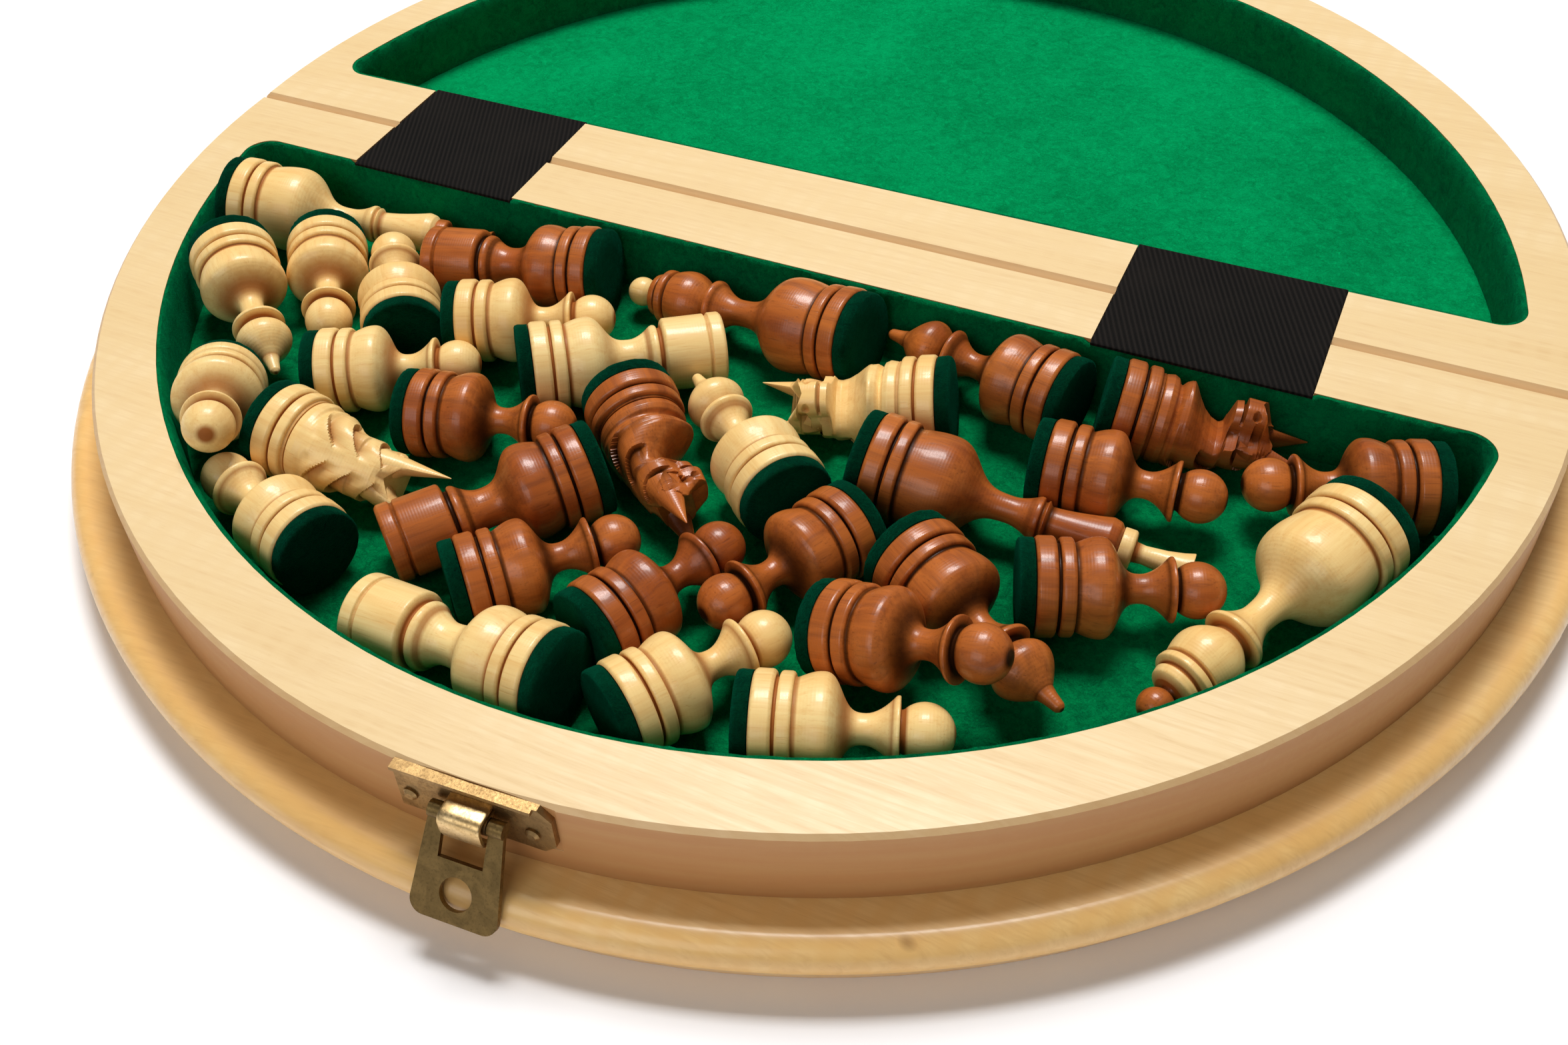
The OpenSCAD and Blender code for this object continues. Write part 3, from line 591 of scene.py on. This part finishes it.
for number, name in enumerate(PLACES):
    piece(name, SEED_STEP * number)


# Felt linings
RECESS, BAR, CORNER, TOP = 140, 16.5, 5.5, 28
FELT_THICK, BOARD_TOP, UNDER_TAPE = 1.2, 12.02, 27.12
TAPES = {"left": -89.5, "right": 84.5}


def recess_outline(inset, step=2.0):
    """Outline of the near recess, anticlockwise from its right corner, drawn in by the inset."""
    r, b, c = RECESS - inset, BAR + inset, CORNER - inset
    cx = sqrt((r - c) ** 2 - (b + c) ** 2)
    side = atan2(-(b + c), cx)
    points = []
    for i in range(9):
        a = pi / 2 + (side - pi / 2) * i / 8
        points.append((cx + c * cos(a), -b - c + c * sin(a)))
    start, stop = side, -pi - side
    count = int(r * (start - stop) / step)
    points += [(r * cos(start + (stop - start) * i / count), r * sin(start + (stop - start) * i / count))
               for i in range(1, count)]
    for i in range(9):
        a = (-pi - side) + (-3 * pi / 2 - (-pi - side)) * i / 8
        points.append((-cx + c * cos(a), -b - c + c * sin(a)))
    left, right = points[-1], points[0]
    count = int((right[0] - left[0]) / step)
    points += [(left[0] + (right[0] - left[0]) * i / count, -b) for i in range(1, count)]
    return points


def floor_felt(side):
    """Felt sheet glued on the tray floor, its face faintly uneven."""
    edge = recess_outline(FELT_THICK)
    inner = recess_outline(2.6, 3.0)
    grid = []
    for i in range(-46, 47):
        for j in range(2, 47):
            x = i * 3.0 + 0.9 * noise.noise((i * 0.7, j * 0.7, 0))
            y = -j * 3.0 + 0.9 * noise.noise((i * 0.7, j * 0.7, 5))
            if hypot(x, y) < RECESS - 5.5 and y < -BAR - 5 and not (
                    abs(x) > 128 and y > -BAR - 8):
                grid.append((x, y))
    flat = [Vector(p) for p in edge + inner + grid]
    ring = list(range(len(edge)))
    out, _, tris, _, _, _ = delaunay_2d_cdt(flat, [], [ring], 1, 1e-5)
    points, faces, count = [], [], len(out)
    for p in out:
        lump = (noise.noise((p.x * 0.03, p.y * 0.03, side)) * 0.5
                + noise.noise((p.x * 0.16, p.y * 0.16, side)) * 0.5)
        points.append((p.x, p.y, FLOOR - 0.13 + 0.12 * lump))
    points += [(p.x, p.y, BOARD_TOP) for p in out]
    uses = {}
    for t in tris:
        for a, b in zip(t, t[1:] + t[:1]):
            uses[frozenset((a, b))] = uses.get(frozenset((a, b)), 0) + 1
    for t in tris:
        a, b, c = t
        up = (out[b].x - out[a].x) * (out[c].y - out[a].y) - (out[c].x - out[a].x) * (out[b].y - out[a].y) > 0
        t = (a, b, c) if up else (a, c, b)
        faces += [t, tuple(i + count for i in reversed(t))]
        for i, j in zip(t, t[1:] + t[:1]):
            if uses[frozenset((i, j))] == 1:
                faces.append((j, i, i + count, j + count))
    half, body = ("near", "near_half") if side < 0 else ("far", "lid_half")
    if side > 0:
        points = [(-x, -y, z) for x, y, z in points]
    # The near floor takes the darker copy of the felt: painted shade.
    obj = add(f"{half}_floor_lining", points, faces, SHADED_NEAR_FELT if side < 0 else FELT, 70)
    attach(obj, body)
    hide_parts(f"{half}_floor_felt")


def wall_felt(side):
    """Felt strip standing round the tray wall, with a soft ragged top edge."""
    outer = recess_outline(0.04, 1.2)
    count = len(outer)
    levels = [0, 0.12, 0.3, 0.5, 0.7, 0.85, 0.95, 1.0]
    points, faces = [], []
    for i in range(count):
        x, y = outer[i]
        # Inward direction from the neighbouring points of the outline.
        x0, y0 = outer[i - 1]
        x1, y1 = outer[(i + 1) % count]
        inward = Vector((y1 - y0, x0 - x1)).normalized()
        if inward.dot(Vector((0, -70)) - Vector((x, y))) < 0:
            inward = -inward
        plan_x = x if side < 0 else -x
        if y > -BAR - 1.5 and any(abs(plan_x - at) < 21.6 for at in TAPES.values()):
            top = UNDER_TAPE
        else:
            top = TOP + 0.05 + 0.28 * noise.noise((x * 1.4, y * 1.4, side)) - 0.2
        height = top - FLOOR + 0.1
        for t in levels:
            swell_in = 1.28 + 0.14 * noise.noise((x * 0.5, y * 0.5, t * 6 + side))
            if t > 0.9:
                swell_in -= 0.35 if t < 1 else 0.62
            p = Vector((x, y)) + inward * swell_in
            points.append((p.x, p.y, FLOOR - 0.1 + height * t))
        points.append((x, y, FLOOR - 0.1 + height))
        points.append((x, y, FLOOR - 0.1))
    rows = len(levels) + 2
    for i in range(count):
        j = (i + 1) % count
        for k in range(rows):
            n = (k + 1) % rows
            faces.append((i * rows + k, i * rows + n, j * rows + n, j * rows + k))
    half, body = ("near", "near_half") if side < 0 else ("far", "lid_half")
    if side > 0:
        points = [(-x, -y, z) for x, y, z in points]
    # The wall felt is painted darker than the lid's floor felt: painted shade.
    obj = add(f"{half}_wall_lining", points, faces, SHADED_WALL_FELT, 70)
    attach(obj, body)
    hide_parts(f"{half}_wall_felt")


for side in (-1, 1):
    floor_felt(side)
    wall_felt(side)


# Webbing hinges
# Width, reach to either side of the seam, and how far from the seam the bend begins.
TAPE_WIDE, TAPE_REACH, BEND = 42, 17.45, 1.2


def tape(which):
    at, wide, reach, low, high = TAPES[which], TAPE_WIDE, TAPE_REACH, 27.24, 27.97
    columns = ([-1, -0.995, -0.985, -0.96] + [-0.96 + 1.92 * i / 20 for i in range(1, 20)]
               + [0.96, 0.985, 0.995, 1])
    rows = [-reach, -reach + 0.12, -reach + 0.5] + [-16.5 + i * 1.5 for i in range(10)] + [
        -2.4 + 0.3 * i for i in range(17)] + [3 + i * 1.5 for i in range(10)] + [
        reach - 0.5, reach - 0.12, reach]
    points, faces = [], []
    for y in rows:
        for u in columns:
            edge = min((1 - abs(u)) * wide / 2, reach - abs(y))
            top = high - 0.22 * (1 - min(1, edge / 0.45)) ** 2
            top += 0.03 * noise.noise((u * 21, y * 1.2, at))
            points.append((at + u * wide / 2, y, top))
    n, count = len(columns), len(points)
    points += [(x, y, low) for x, y, _ in points]
    for k in range(len(rows) - 1):
        for i in range(n - 1):
            a = k * n + i
            faces.append((a, a + 1, a + 1 + n, a + n))
            faces.append((a + count, a + n + count, a + 1 + n + count, a + 1 + count))
    loop = list(range(n)) + [k * n + n - 1 for k in range(1, len(rows))] + [
        (len(rows) - 1) * n + i for i in range(n - 2, -1, -1)] + [k * n for k in range(len(rows) - 2, 0, -1)]
    for i, j in zip(loop, loop[1:] + loop[:1]):
        faces.append((i, i + count, j + count, j))
    obj = add(f"webbing_{which}", points, faces, WEBBING, 50)
    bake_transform(obj)
    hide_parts(f"hinge_tape_{which}")


for which in TAPES:
    tape(which)


# Rolled strap over the hasp's pin
FRAME_RADIUS, SET_BACK, HASP_X, PIN_OUT, PIN_Z = 150, 4, 8.7, 2.4, 22.3
HASP_PLACE = Matrix.Translation((0, -SET_BACK * MM, 0)) @ Matrix.Rotation(asin(HASP_X / FRAME_RADIUS), 4, "Z")


def strap():
    """Sheet that leaves the wall plate above the pin, rolls over it and ends below it."""
    wide, thick = 7.3, 0.85
    back = -(FRAME_RADIUS + 0.4)
    pin = -(FRAME_RADIUS + PIN_OUT)
    path = [(back, PIN_Z + 2.3), (back - 0.9, PIN_Z + 2.35), (pin, PIN_Z + 2.4)]
    path += [(pin - 1.2 - 1.35 * sin(radians(a)), PIN_Z + 1.05 + 1.35 * cos(radians(a)))
             for a in range(0, 91, 15)]
    path += [(pin - 2.5, PIN_Z - 0.9), (pin - 2.1, PIN_Z - 2.3), (pin - 1.2, PIN_Z - 3.4),
        (pin - 0.5, PIN_Z - 3.9)]
    across = [-wide / 2, -wide / 2 + 0.12, -wide / 2 + 0.4, -1.5, 1.5,
              wide / 2 - 0.4, wide / 2 - 0.12, wide / 2]
    points, faces = [], []
    for k, (y, z) in enumerate(path):
        y0, z0 = path[max(0, k - 1)]
        y1, z1 = path[min(len(path) - 1, k + 1)]
        out = Vector((z1 - z0, -(y1 - y0))).normalized()
        for layer in (0, 1):
            for x in across:
                edge = min(1, (wide / 2 - abs(x)) / 0.4)
                off = (0.5 * thick - 0.14 * (1 - edge) ** 2) * (1 if layer else -1)
                points.append((x, y - out.x * off, z - out.y * off))
    n = len(across)
    for k in range(len(path) - 1):
        a, b = k * 2 * n, (k + 1) * 2 * n
        for i in range(n - 1):
            faces.append((a + i, a + i + 1, b + i + 1, b + i))
            faces.append((a + n + i, b + n + i, b + n + i + 1, a + n + i + 1))
        faces.append((a, b, b + n, a + n))
        faces.append((a + n - 1, a + 2 * n - 1, b + 2 * n - 1, b + n - 1))
    last = (len(path) - 1) * 2 * n
    for first in (0, last):
        faces.append(tuple(range(first, first + n)) + tuple(range(first + 2 * n - 1, first + n - 1, -1)))
    obj = add("hasp_strap", points, faces, LIP_BRASS, 35)
    obj.data.transform(HASP_PLACE)
    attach(obj, "near_half")


strap()


# Kept CAD parts
BRASS_EDGE = 0.14

for name, material in {
    "near_board": BOARD_WOOD, "far_board": BOARD_WOOD, "near_squares": SQUARE_WOOD, "far_squares": SQUARE_WOOD,
    "near_frame": TRAY_WOOD, "far_frame": TRAY_WOOD, "hasp_base_plate": BRASS, "hasp_plate": OLIVE_BRASS,
    "hasp_nails": BRASS, "catch_plate": BRASS, "catch_stud": BRASS,
}.items():
    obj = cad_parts[name]
    obj.data.materials.clear()
    obj.data.materials.append(material)
    if material in (BRASS, OLIVE_BRASS):
        edges = obj.modifiers.new("edges", "BEVEL")
        edges.width, edges.segments = BRASS_EDGE * MM, 2
        edges.limit_method, edges.angle_limit = "ANGLE", radians(40)


# Floor and light
stage_paint = Shader("stage", Roughness=0.9)
stage_paint.colour(stage_paint.mix(stage_paint.noise((3, 3, 3), 2), tint(249, 248, 249), tint(251, 250, 251)))
FAR, UNDER = 6000, -0.02
ground = add("ground", [(-FAR, -FAR, UNDER), (FAR, -FAR, UNDER), (FAR, FAR, UNDER), (-FAR, FAR, UNDER)],
             [(0, 1, 2, 3)], stage_paint.material)

world = bpy.data.worlds.new("studio")
world.use_nodes = True
scene.world = world
sky = world.node_tree.nodes["Background"]
sky.inputs["Color"].default_value = (1, 1, 1, 1)
# Reflections of the room are kept weaker than its light, so that the lacquer doesn't look grey.
path = world.node_tree.nodes.new("ShaderNodeLightPath")
dim = world.node_tree.nodes.new("ShaderNodeMapRange")
dim.inputs["To Min"].default_value = 0.13
dim.inputs["To Max"].default_value = 0.1
world.node_tree.links.new(path.outputs["Is Glossy Ray"], dim.inputs["Value"])
world.node_tree.links.new(dim.outputs[0], sky.inputs["Strength"])


def soft_box(name, at, towards, size, power, colour=(1, 1, 1)):
    data = bpy.data.lights.new(name, "AREA")
    data.shape = "RECTANGLE"
    data.size, data.size_y = size
    data.energy = power
    data.color = colour
    lamp = bpy.data.objects.new(name, data)
    scene.collection.objects.link(lamp)
    aim = Vector(towards) - Vector(at)
    lamp.matrix_world = Matrix.Translation(at) @ aim.to_track_quat("-Z", "Y").to_matrix().to_4x4()


soft_box("key", (-0.2, 0.5, 1.45), (0, -0.02, 0), (0.65, 0.48), 24.5)
soft_box("fill", (-0.1, -1.1, 0.7), (0, 0, 0), (0.9, 0.6), 3.4)

scene.view_settings.view_transform = "Standard"
